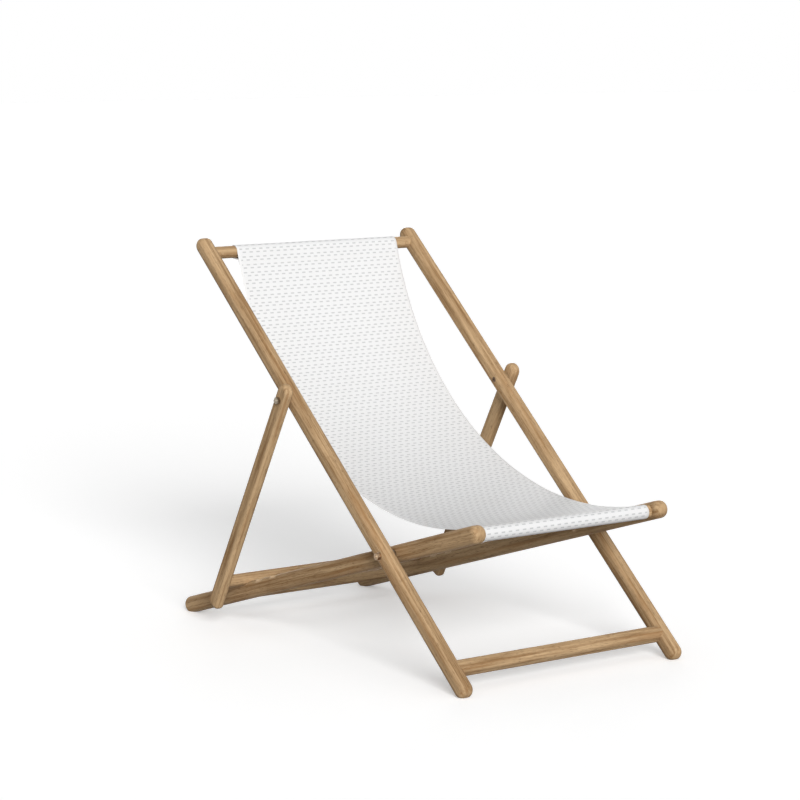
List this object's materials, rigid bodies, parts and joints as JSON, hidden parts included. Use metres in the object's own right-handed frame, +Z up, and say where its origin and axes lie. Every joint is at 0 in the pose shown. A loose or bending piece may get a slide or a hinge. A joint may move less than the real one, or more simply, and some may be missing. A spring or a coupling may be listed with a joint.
{
  "type": "folding deck chair",
  "caption": "Folding wooden deck chair: crossed rail frames, a notched prop behind and a white mesh sling hung from the head bar to the front bar.",
  "frame": {"origin": "on the floor, under the middle of the open chair", "axes": "+Z up, the sitter faces -Y, +X to the sitter's left"},
  "size_m": [0.641, 1.027, 0.8273],
  "materials": {
    "teak": "oiled satin",
    "sling_cloth": "matte mesh weave",
    "bolt_steel": "satin, tarnished"
  },
  "bodies": {
    "back_frame": {"long_rail_left": "teak", "long_rail_right": "teak", "top_bar": "teak", "top_bar_pins": "teak", "front_stretcher": "teak", "sling": "sling_cloth", "frame_bolt_left": "bolt_steel", "frame_bolt_right": "bolt_steel", "frame_spacer_left": "bolt_steel", "frame_spacer_right": "bolt_steel", "frame_washer_left": "bolt_steel", "frame_washer_right": "bolt_steel", "frame_nut_left": "bolt_steel", "frame_nut_right": "bolt_steel", "prop_bolt_left": "bolt_steel", "prop_bolt_right": "bolt_steel", "prop_washer_left": "bolt_steel", "prop_washer_right": "bolt_steel", "prop_nut_left": "bolt_steel", "prop_nut_right": "bolt_steel"},
    "seat_frame": {"seat_rail_left": "teak", "seat_rail_right": "teak", "front_bar": "teak", "rear_stretcher": "teak"},
    "prop": {"prop_strut_left": "teak", "prop_strut_right": "teak", "prop_crossbar": "teak"}
  },
  "joints": [
    {"name": "frame_fold", "type": "hinge", "parent": "back_frame", "child": "seat_frame", "pos_m": [0, -0.24966, 0.23822], "axis": [1, 0, 0], "range_deg": [0, 50], "deforming": ["sling"]},
    {"name": "prop_swing", "type": "hinge", "parent": "back_frame", "child": "prop", "pos_m": [0, 0.05885, 0.51729], "axis": [1, 0, 0], "range_deg": [0, 100]}
  ],
  "couplings": [
    {"joint": "prop_swing", "follows": "frame_fold", "ratio": 2}
  ]
}
